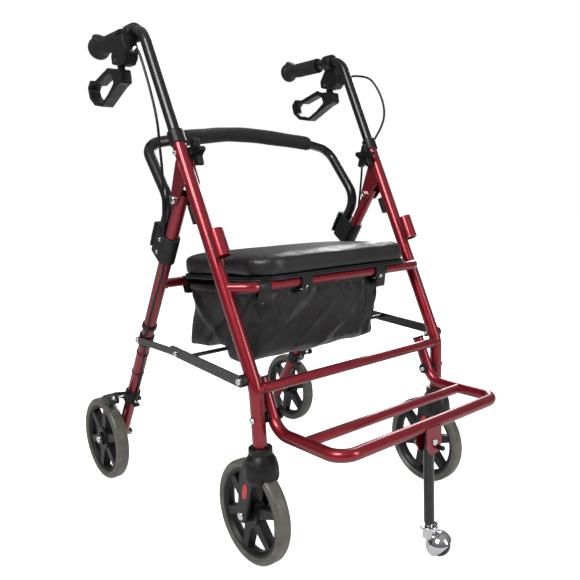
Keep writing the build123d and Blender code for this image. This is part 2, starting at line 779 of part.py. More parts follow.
# ---- backrest ----
def backrest_path():
    low = receiver_plane().from_local_coords(Vector(0, BACKREST_OFFSET, -10))
    start = low + REAR_DIR * (receiver_length() - 36)
    lower = start + REAR_DIR * ((640 - start.Z) / REAR_DIR.Z)
    corner = Vector(243, 58, 758)
    shoulder = Vector(168, 50, 771)
    middle = Vector(0, 94, 792)
    left_points = [start, lower, corner, shoulder]
    points = left_points + [middle] + [Vector(-p.X, p.Y, p.Z) for p in reversed(left_points)]
    return bent_path(points, [48, 34, 150, 260, 150, 34, 48])


def backrest_tube():
    return tube(backrest_path(), BACKREST_D, BACKREST_D - 2 * TUBE_WALL)


def backrest_pad():
    """Foam sleeve on the middle of the backrest tube."""
    path = backrest_path()
    sleeve = tube(path, 33) - tube(path, BACKREST_D + 0.1)
    keep = Pos(0, 60, 780) * Box(350, 200, 90)
    return sleeve & keep


# ---- footrest ----
def footrest_path():
    low = (FOOT_PIVOT[0] - (FOOT_PIVOT[1] - FOOT_Z) * (FOOT_TOP[0] - FOOT_PIVOT[0])
           / (FOOT_TOP[1] - FOOT_PIVOT[1]))
    left = [(FOOT_X, *FOOT_TOP), (FOOT_X, low, FOOT_Z), (FOOT_X, FOOT_FRONT_Y, FOOT_Z)]
    right = [(-x, y, z) for x, y, z in reversed(left)]
    return bent_path(left + right, [46, 32, 32, 46])


def support_bracket():
    """Two plates on the front bar that hold the support leg's pivot."""
    outline = polygon((-20, 244), (20, 244), (20, 212), (11, 195), (-11, 195), (-20, 212))
    outline = fillet(outline.vertices(), 3)
    inner = FOOTREST_D / 2 - 0.3
    sheet_t = 2.5
    front = Plane(origin=(0, FOOT_FRONT_Y - inner, 0), x_dir=(1, 0, 0), z_dir=(0, -1, 0))
    rear = Plane(origin=(0, FOOT_FRONT_Y + inner + sheet_t, 0), x_dir=(1, 0, 0), z_dir=(0, -1, 0))
    return extrude(front * outline, sheet_t) + extrude(rear * outline, sheet_t)


def footrest_frame():
    frame = tube(footrest_path(), FOOTREST_D)
    frame += rod_x((FOOT_BAR_Y, FOOT_Z), -FOOT_X, FOOT_X, 19)
    frame += support_bracket()
    hollow = tube(footrest_path(), FOOTREST_D - 2 * TUBE_WALL)
    pivot = rod_x(FOOT_PIVOT, 190, 230, 6 + 2 * RUN)
    frame -= hollow + pivot + mirrored(pivot)
    frame -= rod((0, -490, SUPPORT_PIVOT_Z), (0, -430, SUPPORT_PIVOT_Z), 6.02)
    return frame - rod((12.2, -490, 203), (12.2, -430, 203), 4 + 2 * RUN)


def end_cap():
    """Black plug on the footrest tube's upper end, which stops on the low bar."""
    axis = (Vector(0, *FOOT_TOP) - Vector(0, *FOOT_PIVOT)).normalized()
    top = Vector(FOOT_X, *FOOT_TOP)
    flange = rod(top + axis * 0.05, top + axis * 4, FOOTREST_D + 2)
    return flange + rod(top - axis * 14, top + axis * 1, FOOTREST_D - 2 * TUBE_WALL - 0.1)


# ---- support leg ----
def support_leg():
    y = FOOT_FRONT_Y
    leg = rod((0, y, SUPPORT_LOW_Z), (0, y, SUPPORT_PIVOT_Z + 10), SUPPORT_LEG_D)
    leg -= rod((0, y, SUPPORT_LOW_Z), (0, y, SUPPORT_PIVOT_Z + 10), SUPPORT_LEG_D - 3)
    return leg - rod((0, y - 15, SUPPORT_PIVOT_Z), (0, y + 15, SUPPORT_PIVOT_Z), 6 + 2 * RUN)


def support_bolt():
    y = FOOT_FRONT_Y
    z = SUPPORT_PIVOT_Z
    head = Plane(origin=(0, y - 13.4, z), z_dir=(0, -1, 0)) * Cylinder(
        6, 3.5, align=(Align.CENTER, Align.CENTER, Align.MIN))
    head = fillet(head.edges().sort_by(Axis.Y)[0], 2)
    nut = Plane(origin=(0, y + 13.4, z), z_dir=(0, 1, 0)) * extrude(RegularPolygon(5, 6), 5)
    return head + nut + rod((0, y - 14, z), (0, y + 14, z), 6)


def lock_pin():
    """Spring pin beside the leg with a pull knob at the front."""
    y = FOOT_FRONT_Y
    knob = rod((12.2, y - 25, 203), (12.2, y - 13.6, 203), 9)
    knob = fillet(knob.edges().sort_by(Axis.Y)[0], 2)
    return knob + rod((12.2, y - 15, 203), (12.2, y + 14, 203), 4)


def on_swivel(part):
    """Places a part built around the Z axis, with its trail towards -Y, on the turned swivel."""
    return Pos(0, FOOT_FRONT_Y, 0) * Rot(0, 0, BALL_TURN) * part


def ball_hood():
    """Half shell over the ball, cut open low down and on its trailing side."""
    outer = BALL_R + 5.0
    centre = Pos(0, -BALL_TRAIL, BALL_R)
    hood = centre * Sphere(outer) + rod((0, 0, 34), (0, 0, 53), 24)
    hood -= centre * Sphere(outer - 2.6)
    hood -= centre * Rot(-36.9, 0, 0) * Pos(0, 0, -44) * Box(80, 80, 80)
    return hood - Pos(0, -BALL_TRAIL, 0) * Box(90, 90, 14)


def caster_horn():
    """Chrome swivel plate and hood of the ball caster, with its stem and axle."""
    swivel_disc = rod((0, 0, 52), (0, 0, 57.4), 34)
    horn = fillet(swivel_disc.edges().sort_by(Axis.Z)[-1], 1.5)
    horn += rod((0, 0, 50), (0, 0, 60.6), 15)
    horn += rod((0, 0, 55), (0, 0, 92), SUPPORT_LEG_D - 3 - 2 * RUN)
    horn += ball_hood()
    return on_swivel(horn + rod_x((-BALL_TRAIL, BALL_R), -23.4, 23.4, 5))


def ball_wheel():
    """Ball-shaped wheel with flat sides on the hood's axle."""
    half = 17.0
    bore = 2.5 + RUN
    edge = sqrt(BALL_R ** 2 - half ** 2)
    profile = make_face([
        Polyline((half, edge), (half, bore), (-half, bore), (-half, edge)).wire(),
        ThreePointArc((-half, edge), (0, BALL_R), (half, edge)),
    ])
    ball = revolve(profile, Axis.X)
    return on_swivel(Pos(0, -BALL_TRAIL, BALL_R) * ball)


# ---- the walker ----
def paired(nodes, name, part):
    """One node for each side."""
    nodes[name + "_left"] = part
    nodes[name + "_right"] = mirrored(part)


def frame_nodes():
    return {
        "front_frame": front_frame(),
        "socket_collars": both(socket_collar()),
        "stop_bumpers": both(stop_bumper()),
        "frame_bolts": frame_bolts(),
        "footrest_spacers": both(footrest_spacer()),
        "caster_cups": both(caster_cup()),
        "caster_stems": both(caster_stem()),
        "caster_bearings": both(caster_bearings()),
        "bag": bag(),
    }


def handle_nodes():
    nodes = {}
    paired(nodes, "handle_tube", tube(handle_axis(), HANDLE_D, HANDLE_D - 2 * TUBE_WALL))
    paired(nodes, "grip", grip())
    paired(nodes, "brake_housing", brake_housing())
    paired(nodes, "brake_hardware", brake_hardware())
    paired(nodes, "brake_lever", brake_lever())
    paired(nodes, "height_knob", height_knob())
    return nodes


def rear_nodes():
    nodes = {
        "rear_frame": rear_frame(),
        "rear_axles": both(rear_axle()),
        "link_clamps": both(link_clamp()),
        "backrest_receivers": both(backrest_receiver()),
        "rear_screws": both(group(receiver_screws(), shoe_pin())),
        "release_levers": both(release_lever()),
        "brake_brackets": both(brake_bracket()),
        "brake_springs": both(brake_spring()),
        "backrest_tube": backrest_tube(),
        "backrest_pad": backrest_pad(),
    }
    paired(nodes, "brake_shoe", brake_shoe())
    return nodes


def wheel_nodes():
    nodes = {}
    front = front_wheel_centre()
    paired(nodes, "fork", fork())
    paired(nodes, "fork_axle", fork_axle())
    paired(nodes, "front_rim", wheel_rim(CASTER_X, front, 8))
    paired(nodes, "front_tyre", tyre(CASTER_X, front))
    paired(nodes, "rear_rim", wheel_rim(REAR_WHEEL_X, REAR_AXLE, 10))
    paired(nodes, "rear_tyre", tyre(REAR_WHEEL_X, REAR_AXLE))
    return nodes


def folding_nodes():
    return {
        "front_links": both(front_link()),
        "cross_rod": cross_rod(),
        "rear_links": both(rear_link()),
        "link_bolts": link_bolts(),
        "seat_board": seat_board(),
        "seat_cushion": seat_cushion(),
        "seat_clamps": both(seat_clamp()),
        "seat_screws": both(seat_screws()),
        "footrest_frame": footrest_frame(),
        "footrest_end_caps": both(end_cap()),
        "support_leg": support_leg(),
        "support_bolt": support_bolt(),
        "lock_pin": lock_pin(),
        "caster_horn": caster_horn(),
        "ball_wheel": ball_wheel(),
    }


os.makedirs("parts", exist_ok=True)
for make_nodes in (frame_nodes, handle_nodes, rear_nodes, wheel_nodes, folding_nodes):
    for name, part in make_nodes().items():
        export_step(Pos(0, ORIGIN_SHIFT, 0) * part, f"parts/{name}.step")
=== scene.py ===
import json
import math

import bmesh
import bpy
import numpy as np
from mathutils import Matrix, Vector

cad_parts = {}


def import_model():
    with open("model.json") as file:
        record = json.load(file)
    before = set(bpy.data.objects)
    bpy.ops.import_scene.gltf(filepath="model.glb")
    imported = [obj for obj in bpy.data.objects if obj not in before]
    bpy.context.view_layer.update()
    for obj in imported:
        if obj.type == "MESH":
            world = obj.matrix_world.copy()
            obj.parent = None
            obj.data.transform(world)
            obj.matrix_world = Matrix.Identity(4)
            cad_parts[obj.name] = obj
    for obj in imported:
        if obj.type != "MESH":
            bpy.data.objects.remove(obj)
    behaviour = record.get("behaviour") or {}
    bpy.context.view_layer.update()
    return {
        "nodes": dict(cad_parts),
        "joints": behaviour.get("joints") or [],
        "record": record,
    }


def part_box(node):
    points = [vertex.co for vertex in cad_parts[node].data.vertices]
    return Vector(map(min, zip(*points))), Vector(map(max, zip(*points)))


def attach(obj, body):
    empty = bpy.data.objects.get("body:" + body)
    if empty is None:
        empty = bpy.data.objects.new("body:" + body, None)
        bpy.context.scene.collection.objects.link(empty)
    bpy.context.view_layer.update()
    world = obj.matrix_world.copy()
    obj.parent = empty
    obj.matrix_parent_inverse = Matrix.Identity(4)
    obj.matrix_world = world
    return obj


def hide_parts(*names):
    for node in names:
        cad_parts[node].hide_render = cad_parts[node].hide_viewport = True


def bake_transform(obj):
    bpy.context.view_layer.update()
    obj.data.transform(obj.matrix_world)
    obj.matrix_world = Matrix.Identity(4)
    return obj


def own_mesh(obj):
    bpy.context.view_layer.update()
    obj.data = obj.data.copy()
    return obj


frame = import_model()

MM = 0.001
record = frame["record"]
joint = {j["name"]: j for j in frame["joints"]}
mount = {m["name"]: m for m in record["mounts"]}


# ---- materials ----
class Finish:
    """A procedural principled material in object space, built up from small layers."""

    def __init__(self, name, color, roughness, metallic=0.0, coat=0.0, coat_roughness=0.08, specular=0.5):
        self.material = bpy.data.materials.new(name)
        self.material.use_nodes = True
        self.tree = self.material.node_tree
        self.shader = self.tree.nodes["Principled BSDF"]
        self.shader.inputs["Base Color"].default_value = (*color, 1)
        self.shader.inputs["Roughness"].default_value = roughness
        self.shader.inputs["Metallic"].default_value = metallic
        self.shader.inputs["Specular IOR Level"].default_value = specular
        self.shader.inputs["Coat Weight"].default_value = coat
        self.shader.inputs["Coat Roughness"].default_value = coat_roughness
        self.coords = self.node("ShaderNodeTexCoord").outputs["Object"]
        self.normal = None

    def node(self, kind, **inputs):
        made = self.tree.nodes.new(kind)
        for key, value in inputs.items():
            made.inputs[key.replace("_", " ")].default_value = value
        return made

    def link(self, source, target):
        self.tree.links.new(source, target)

    def noise(self, scale, detail=3.0, stretch=(1, 1, 1)):
        mapping = self.node("ShaderNodeMapping")
        mapping.inputs["Scale"].default_value = stretch
        self.link(self.coords, mapping.inputs["Vector"])
        texture = self.node("ShaderNodeTexNoise", Scale=scale, Detail=detail)
        self.link(mapping.outputs["Vector"], texture.inputs["Vector"])
        return texture.outputs["Fac"]

    def cells(self, scale, feature="F1"):
        texture = self.node("ShaderNodeTexVoronoi", Scale=scale)
        texture.feature = feature
        self.link(self.coords, texture.inputs["Vector"])
        return texture.outputs["Distance"]

    def weave(self, scale, direction):
        texture = self.node("ShaderNodeTexWave", Scale=scale, Distortion=0.6, Detail=1.0)
        texture.bands_direction = direction
        self.link(self.coords, texture.inputs["Vector"])
        return texture.outputs["Fac"]

    def combine(self, operation, first, second):
        made = self.node("ShaderNodeMath")
        made.operation = operation
        for socket, value in zip(made.inputs, (first, second)):
            if isinstance(value, (int, float)):
                socket.default_value = value
            else:
                self.link(value, socket)
        return made.outputs[0]

    def ramp(self, factor, low, high):
        """Factor stretched to the range low..high."""
        made = self.node("ShaderNodeMapRange", From_Min=0.3, From_Max=0.7, To_Min=low, To_Max=high)
        self.link(factor, made.inputs["Value"])
        return made.outputs["Result"]

    def roughness(self, factor, low, high):
        self.link(self.ramp(factor, low, high), self.shader.inputs["Roughness"])

    def color(self, factor, dark, light):
        mix = self.node("ShaderNodeMix")
        mix.data_type = "RGBA"
        self.link(self.ramp(factor, 0.0, 1.0), mix.inputs[0])
        mix.inputs[6].default_value = (*dark, 1)
        mix.inputs[7].default_value = (*light, 1)
        self.link(mix.outputs[2], self.shader.inputs["Base Color"])
        return mix

    def painted_rim_shade(self, center, edge, blend=0.35):
        """Base colour that shifts from center to edge as the surface turns away, used as painted shade on the
        rims.
        """
        weight = self.node("ShaderNodeLayerWeight", Blend=blend)
        mix = self.node("ShaderNodeMix")
        mix.data_type = "RGBA"
        self.link(weight.outputs["Facing"], mix.inputs[0])
        mix.inputs[6].default_value = (*center, 1)
        mix.inputs[7].default_value = (*edge, 1)
        self.link(mix.outputs[2], self.shader.inputs["Base Color"])

    def round_edges(self, radius):
        made = self.node("ShaderNodeBevel", Radius=radius)
        made.samples = 4
        self.normal = made.outputs["Normal"]
        self.link(self.normal, self.shader.inputs["Normal"])

    def bump(self, height, distance, strength=1.0, coat=False):
        made = self.node("ShaderNodeBump", Distance=distance, Strength=strength)
        self.link(height, made.inputs["Height"])
        if self.normal is not None:
            self.link(self.normal, made.inputs["Normal"])
        self.normal = made.outputs["Normal"]
        self.link(self.normal, self.shader.inputs["Normal"])
        if coat:
            self.link(self.normal, self.shader.inputs["Coat Normal"])


def red_paint():
    finish = Finish("red_paint", (0.24, 0.004, 0.013), 0.34, metallic=0.6, coat=0.65, coat_roughness=0.06)
    # painted shade: the red darkens towards the rims where the tubes turn away from view
    finish.painted_rim_shade((0.27, 0.004, 0.014), (0.07, 0.001, 0.005))
    finish.roughness(finish.noise(45), 0.30, 0.42)
    finish.round_edges(0.7 * MM)
    finish.bump(finish.cells(3200), 0.012 * MM, 0.5)
    finish.bump(finish.noise(260, 1.0), 0.05 * MM, 0.35, coat=True)
    return finish.material


def black_paint():
    finish = Finish("black_paint", (0.004, 0.004, 0.005), 0.34, coat=0.35, coat_roughness=0.14, specular=0.4)
    finish.color(finish.noise(20), (0.003, 0.003, 0.004), (0.006, 0.006, 0.007))
    finish.roughness(finish.noise(60), 0.24, 0.38)
    finish.round_edges(0.6 * MM)
    finish.bump(finish.noise(300, 1.0), 0.05 * MM, 0.35, coat=True)
    return finish.material


def black_plastic():
    finish = Finish("black_plastic", (0.005, 0.005, 0.005), 0.42, specular=0.35)
    finish.color(finish.noise(35), (0.003, 0.003, 0.003), (0.007, 0.007, 0.007))
    finish.roughness(finish.noise(80), 0.34, 0.50)
    finish.round_edges(0.9 * MM)
    finish.bump(finish.cells(1500), 0.05 * MM, 0.4)
    return finish.material


def grip_rubber():
    finish = Finish("grip_rubber", (0.005, 0.005, 0.005), 0.58, specular=0.4)
    finish.color(finish.noise(60), (0.003, 0.003, 0.003), (0.008, 0.008, 0.008))
    finish.roughness(finish.noise(140), 0.52, 0.72)
    finish.round_edges(0.8 * MM)
    finish.bump(finish.cells(1100), 0.12 * MM, 0.6)
    return finish.material


def foam():
    finish = Finish("foam", (0.008, 0.008, 0.009), 0.8, specular=0.4)
    finish.color(finish.noise(90), (0.005, 0.005, 0.006), (0.012, 0.012, 0.013))
    finish.shader.inputs["Sheen Weight"].default_value = 0.08
    finish.roughness(finish.noise(200), 0.68, 0.9)
    finish.bump(finish.cells(1700), 0.16 * MM, 0.6)
    return finish.material


def vinyl():
    finish = Finish("vinyl", (0.005, 0.005, 0.006), 0.34, coat=0.15, coat_roughness=0.25)
    finish.color(finish.noise(14), (0.003, 0.003, 0.004), (0.007, 0.007, 0.008))
    finish.roughness(finish.noise(50), 0.36, 0.50)
    grain = finish.combine("MULTIPLY", finish.cells(620, "SMOOTH_F1"), finish.noise(300, 2.0))
    finish.bump(grain, 0.22 * MM, 0.55)
    finish.bump(finish.noise(22, 2.0), 0.3 * MM, 0.15)
    return finish.material


def nylon():
    finish = Finish("nylon", (0.004, 0.004, 0.004), 0.42, specular=0.45)
    finish.color(finish.noise(25), (0.002, 0.002, 0.002), (0.006, 0.006, 0.006))
    finish.roughness(finish.noise(40), 0.36, 0.52)
    threads = finish.combine("MAXIMUM", finish.weave(230, "X"), finish.weave(230, "Z"))
    threads = finish.combine("MAXIMUM", threads, finish.weave(230, "Y"))
    finish.bump(threads, 0.10 * MM, 0.45)
    finish.bump(finish.noise(120, 3.0), 0.5 * MM, 0.25)
    return finish.material


def grey_tyre():
    finish = Finish("grey_tyre", (0.09, 0.086, 0.07), 0.4, coat=0.12, coat_roughness=0.3)
    finish.color(finish.noise(55), (0.075, 0.072, 0.058), (0.115, 0.110, 0.090))
    finish.roughness(finish.noise(120), 0.32, 0.5)
    finish.bump(finish.noise(700, 2.0), 0.10 * MM, 0.4)
    return finish.material


def black_rubber():
    finish = Finish("black_rubber", (0.005, 0.005, 0.005), 0.3, coat=0.15, specular=0.4)
    finish.roughness(finish.noise(90), 0.24, 0.42)
    finish.round_edges(0.6 * MM)
    finish.bump(finish.noise(500, 2.0), 0.05 * MM, 0.3)
    return finish.material


def chrome():
    finish = Finish("chrome", (0.62, 0.63, 0.64), 0.12, metallic=1.0)
    finish.roughness(finish.noise(160), 0.05, 0.16)
    finish.round_edges(0.4 * MM)
    finish.bump(finish.noise(900, 2.0), 0.012 * MM, 0.4)
    return finish.material


def steel():
    finish = Finish("steel", (0.56, 0.56, 0.57), 0.3, metallic=1.0)
    finish.roughness(finish.noise(400, stretch=(1, 1, 8)), 0.22, 0.42)
    finish.bump(finish.noise(1200, stretch=(1, 1, 10)), 0.01 * MM, 0.5)
    return finish.material


def red_plastic():
    finish = Finish("red_plastic", (0.52, 0.012, 0.014), 0.34)
    finish.color(finish.noise(80), (0.46, 0.010, 0.012), (0.58, 0.016, 0.018))
    finish.roughness(finish.noise(160), 0.28, 0.42)
    finish.bump(finish.cells(1800), 0.03 * MM, 0.3)
    return finish.material


def cable_sheath():
    finish = Finish("cable_sheath", (0.004, 0.004, 0.004), 0.32, specular=0.4)
    finish.roughness(finish.noise(150), 0.26, 0.42)
    finish.bump(finish.noise(600), 0.03 * MM, 0.3)
    return finish.material


MATERIALS = {f.__name__: f() for f in (
    red_paint, black_paint, black_plastic, grip_rubber, foam, vinyl, nylon, grey_tyre,
    black_rubber, chrome, steel, red_plastic, cable_sheath)}


def paint(piece, material):
    piece.data.materials.clear()
    piece.data.materials.append(MATERIALS[material])


def finish_cad_nodes():
    for part in record["subparts"]:
        paint(frame["nodes"][part["node"]], part["material_slot"])


# ---- mesh helpers ----
def new_piece(name, vertices, faces, material, smooth=True):
    mesh = bpy.data.meshes.new(name)
    mesh.from_pydata([tuple(v) for v in vertices], [], faces)
    mesh.validate()
    piece = bpy.data.objects.new(name, mesh)
    bpy.context.scene.collection.objects.link(piece)
    if smooth:
        mesh.polygons.foreach_set("use_smooth", [True] * len(mesh.polygons))
    paint(piece, material)
    return piece


def coordinates(piece):
    return np.array([v.co for v in piece.data.vertices], float).reshape(-1, 3)


def set_coordinates(piece, co):
    piece.data.vertices.foreach_set("co", np.asarray(co, np.float32).ravel())
    piece.data.update()


def evaluated_mesh(piece):
    graph = bpy.context.evaluated_depsgraph_get()
    graph.update()
    return bpy.data.meshes.new_from_object(piece.evaluated_get(graph))


def bake_modifiers(piece):
    """Replaces the mesh with its shape after all modifiers, and removes them."""
    mesh = evaluated_mesh(piece)
    piece.modifiers.clear()
    old = piece.data
    piece.data = mesh
    bpy.data.meshes.remove(old)
    mesh.polygons.foreach_set("use_smooth", [True] * len(mesh.polygons))


def remesh(piece, voxel):
    modifier = piece.modifiers.new("remesh", "REMESH")
    modifier.mode = "VOXEL"
    modifier.voxel_size = voxel
    modifier.use_smooth_shade = True
    bake_modifiers(piece)


def subdivide(piece, levels=1):
    modifier = piece.modifiers.new("subdivision", "SUBSURF")
    modifier.levels = levels
    modifier.render_levels = levels
    bake_modifiers(piece)


def smooth(piece, factor, repeats):
    modifier = piece.modifiers.new("smooth", "SMOOTH")
    modifier.factor = factor
    modifier.iterations = repeats
    bake_modifiers(piece)


def cloth(piece, pressure, cap, frames=20, pinned=None, slack=0.0, gravity=0.0):
    """Runs a short cloth simulation and keeps each point within cap of its start."""
    before = coordinates(piece)
    modifier = piece.modifiers.new("cloth", "CLOTH")
    settings = modifier.settings
    settings.quality = 6
    settings.mass = 0.15
    settings.tension_stiffness = 12
    settings.compression_stiffness = 12
    settings.bending_stiffness = 0.4
    settings.use_pressure = True
    settings.uniform_pressure_force = pressure
    settings.shrink_min = -slack
    settings.effector_weights.gravity = gravity
    if pinned is not None:
        group = piece.vertex_groups.new(name="pinned")
        group.add(pinned, 1.0, "REPLACE")
        settings.vertex_group_mass = "pinned"
    modifier.point_cache.frame_start = 1
    modifier.point_cache.frame_end = frames
    scene = bpy.context.scene
    for number in range(1, frames + 1):
        scene.frame_set(number)
    mesh = evaluated_mesh(piece)
    after = np.array([v.co for v in mesh.vertices], float).reshape(-1, 3)
    bpy.data.meshes.remove(mesh)
    piece.modifiers.remove(modifier)
    scene.frame_set(1)
    move = after - before
    length = np.linalg.norm(move, axis=1, keepdims=True)
    limited = cap * np.tanh(length / cap)
    set_coordinates(piece, before + move * limited / np.maximum(length, 1e-9))


def copy_of(node, name, material):
    piece = bpy.data.objects.new(name, frame["nodes"][node].data.copy())
    bpy.context.scene.collection.objects.link(piece)
    paint(piece, material)
    bm = bmesh.new()
    bm.from_mesh(piece.data)
    bmesh.ops.remove_doubles(bm, verts=bm.verts, dist=1e-5)
    bm.to_mesh(piece.data)
    bm.free()
    return piece


def spline(points, steps=10):
    """Catmull-Rom curve through the points."""
    points = [Vector(p) for p in points]
    ends = [points[0] * 2 - points[1]] + points + [points[-1] * 2 - points[-2]]
    curve = []
    for a, b, c, d in zip(ends, ends[1:], ends[2:], ends[3:]):
        for i in range(steps):
            t = i / steps
            curve.append(0.5 * ((2 * b) + (c - a) * t + (2 * a - 5 * b + 4 * c - d) * t * t
                                + (3 * b - a - 3 * c + d) * t ** 3))
    curve.append(points[-1])
    return curve


def frames_along(curve, closed=False):
    """Tangent, side and up vectors along a curve, turned as little as possible."""
    count = len(curve)
    up = Vector((0, 0, 1))
    rows = []
    for i, point in enumerate(curve):
        after = curve[(i + 1) % count] if closed else curve[min(i + 1, count - 1)]
        before = curve[i - 1] if closed or i else curve[0]
        tangent = (after - before).normalized()
        side = tangent.cross(up)
        if side.length < 1e-4:
            side = tangent.orthogonal()
        side.normalize()
        up = side.cross(tangent).normalized()
        rows.append((point, tangent, side, up))
    return rows


def tube(name, curve, radius, material, sides=12, closed=False):
    """Tube along a curve; radius is a number or a function of the share along it."""
    rows = frames_along(curve, closed)
    vertices = []
    for i, (point, _, side, up) in enumerate(rows):
        r = radius(i / (len(rows) - 1)) if callable(radius) else radius
        for k in range(sides):
            angle = 2 * math.pi * k / sides
            vertices.append(point + side * (r * math.cos(angle)) + up * (r * math.sin(angle)))
    faces = []
    spans = len(rows) if closed else len(rows) - 1
    for i in range(spans):
        j = (i + 1) % len(rows)
        for k in range(sides):
            m = (k + 1) % sides
            faces.append((i * sides + k, i * sides + m, j * sides + m, j * sides + k))
    if not closed:
        faces.append(tuple(reversed(range(sides))))
        faces.append(tuple(range(len(vertices) - sides, len(vertices))))
    return new_piece(name, vertices, faces, material)


def lathe(name, centre, axis, profile, material, segments=32, squeeze=(1, 1), up=(0, 0, 1)):
    """Closed turned piece: profile holds (distance along the axis, radius) pairs."""
    axis = Vector(axis).normalized()
    side = Vector(up).cross(axis)
    if side.length < 1e-4:
        side = axis.orthogonal()
    side.normalize()
    top = axis.cross(side).normalized()
    centre = Vector(centre)
    vertices = []
    for along, radius in profile:
        for k in range(segments):
            angle = 2 * math.pi * k / segments
            ring = side * (radius * squeeze[0] * math.cos(angle)) + top * (radius * squeeze[1] * math.sin(angle))
            vertices.append(centre + axis * along + ring)
    faces = []
    for i in range(len(profile) - 1):
        for k in range(segments):
            m = (k + 1) % segments
            faces.append((i * segments + k, i * segments + m, (i + 1) * segments + m, (i + 1) * segments + k))
    faces.append(tuple(reversed(range(segments))))
    faces.append(tuple(range(len(vertices) - segments, len(vertices))))
    return new_piece(name, vertices, faces, material)


# ---- seat cushion ----
SEAT_UP = Vector(mount["seat_top"]["axis"]).normalized()


SKIRT = 7 * MM


def seat_frame():
    """Seat plane: centre of the cushion's underside, and its side, back and up axes."""
    low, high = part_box("seat_cushion")
    middle = (low + high) / 2
    co = coordinates(frame["nodes"]["seat_cushion"])
    base = min(Vector(p).dot(SEAT_UP) for p in co)
    back = SEAT_UP.cross(Vector((1, 0, 0)))
    centre = middle + SEAT_UP * (base - middle.dot(SEAT_UP))
    return centre, Vector((1, 0, 0)), back, SEAT_UP


def local(co, axes):
    centre, side, back, up = axes
    basis = np.array([side, back, up], float)
    return (co - np.array(centre)) @ basis.T


def world(co, axes):
    centre, side, back, up = axes
    basis = np.array([side, back, up], float)
    return co @ basis + np.array(centre)


def rounded_loop(half_w, half_d, radius, step):
    """Points around a rounded rectangle, about step apart."""
    points = []
    for cx, cy, start in ((1, 1, 0), (-1, 1, 90), (-1, -1, 180), (1, -1, 270)):
        corner = Vector((cx * (half_w - radius), cy * (half_d - radius)))
        for i in range(13):
            angle = math.radians(start + 90 * i / 12)
            points.append(corner + Vector((math.cos(angle), math.sin(angle))) * radius)
    dense = []
    for a, b in zip(points, points[1:] + points[:1]):
        count = max(1, round((b - a).length / step))
        dense += [a.lerp(b, i / count) for i in range(count)]
    return dense


def seat_cushion():
    axes = seat_frame()
    piece = copy_of("seat_cushion", "seat_pad", "vinyl")
    co = local(coordinates(piece), axes)
    half = np.abs(co[:, :2]).max(axis=0)
    height = co[:, 2].max()
    co[:, 0] *= 1 - 1.5 * MM / half[0]
    co[:, 1] *= 1 - 1.5 * MM / half[1]
    co[:, 2] *= 1 - 3.0 * MM / height
    set_coordinates(piece, world(co, axes))
    remesh(piece, 5 * MM)
    co = local(coordinates(piece), axes)
    across = 1 - (co[:, 0] / half[0]) ** 2
    along = 1 - (co[:, 1] / half[1]) ** 2
    share = np.clip(co[:, 2] / height, 0, 1)
    co[:, 2] += 4.0 * MM * np.clip(across * along, 0, 1) ** 0.5 * share
    set_coordinates(piece, world(co, axes))
    cloth(piece, pressure=4.0, cap=6 * MM)
    subdivide(piece)
    smooth(piece, 0.5, 3)
    co = local(coordinates(piece), axes)
    angle = np.arctan2(co[:, 1] / half[1], co[:, 0] / half[0])
    corner = np.clip(1 - np.abs(np.abs(np.abs(angle) - math.pi / 2) - math.pi / 4) / 0.5, 0, 1)
    side = np.clip((np.maximum(np.abs(co[:, 0]) / half[0], np.abs(co[:, 1]) / half[1]) - 0.9) / 0.08, 0, 1)
    low = np.clip(1 - co[:, 2] / (0.55 * height), 0, 1)
    gather = 1 + 0.0035 * corner * side * low * np.sin(angle * 95)
    co[:, 0] *= gather
    co[:, 1] *= gather
    seam = np.exp(-((co[:, 2] - 6.5 * MM) / (1.3 * MM)) ** 2) * side
    co[:, 0] *= 1 - 0.006 * seam
    co[:, 1] *= 1 - 0.006 * seam
    rim = np.clip((np.maximum(np.abs(co[:, 0]) - half[0], np.abs(co[:, 1]) - half[1]) + 9 * MM) / (4 * MM), 0, 1)
    foot = np.clip(1 - co[:, 2] / (9 * MM), 0, 1)
    co[:, 2] = np.maximum(co[:, 2], 0.1 * MM) - SKIRT * rim * foot
    set_coordinates(piece, world(co, axes))
    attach(piece, "seat")
    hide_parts("seat_cushion")
    welt = []
    for p in rounded_loop(half[0] - 3.4 * MM, half[1] - 3.4 * MM, 55 * MM, 8 * MM):
        welt.append(Vector(world(np.array([[p.x, p.y, 0.8 * MM - SKIRT]]), axes)[0]))
    cord = tube("seat_welt", welt, 1.6 * MM, "vinyl", sides=10, closed=True)
    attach(cord, "seat")


# ---- backrest foam ----
def backrest_pad():
    piece = copy_of("backrest_pad", "backrest_foam", "foam")
    remesh(piece, 2.5 * MM)
    co = coordinates(piece)
    end = np.abs(co[:, 0]).max()
    bins = np.round(co[:, 0] / (4 * MM)).astype(int)
    centre = {b: co[bins == b][:, 1:].mean(axis=0) for b in set(bins)}
    middle = np.array([centre[b] for b in bins])
    out = co[:, 1:] - middle
    radius = np.linalg.norm(out, axis=1)
    outer = radius > 13 * MM
    rest = end - np.abs(co[:, 0])
    taper = np.where(rest < 7 * MM, (1 - rest / (7 * MM)) ** 2 * 2.6 * MM, 0)
    ripple = 0.35 * MM * np.sin(co[:, 0] * 31) + 0.25 * MM * np.sin(co[:, 0] * 83 + 1)
    seam = 0.9 * MM * np.exp(-((out[:, 1] + radius) / (0.9 * MM)) ** 2)
    scale = 1 + np.where(outer, ripple - taper - seam, 0) / np.maximum(radius, 1e-6)
    co[:, 1:] = middle + out * scale[:, None]
    set_coordinates(piece, co)
    cloth(piece, pressure=1.5, cap=1.2 * MM, frames=12)
    smooth(piece, 0.5, 4)
    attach(piece, "backrest")
    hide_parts("backrest_pad")


# ---- bag ----
BAG_SIDE = [(-176, 494), (-167, 430), (-149, 356), (-104, 342), (-66, 345), (-56, 364), (-30, 364),
            (16, 353), (80, 349), (74, 400), (61, 430), (76, 481)]
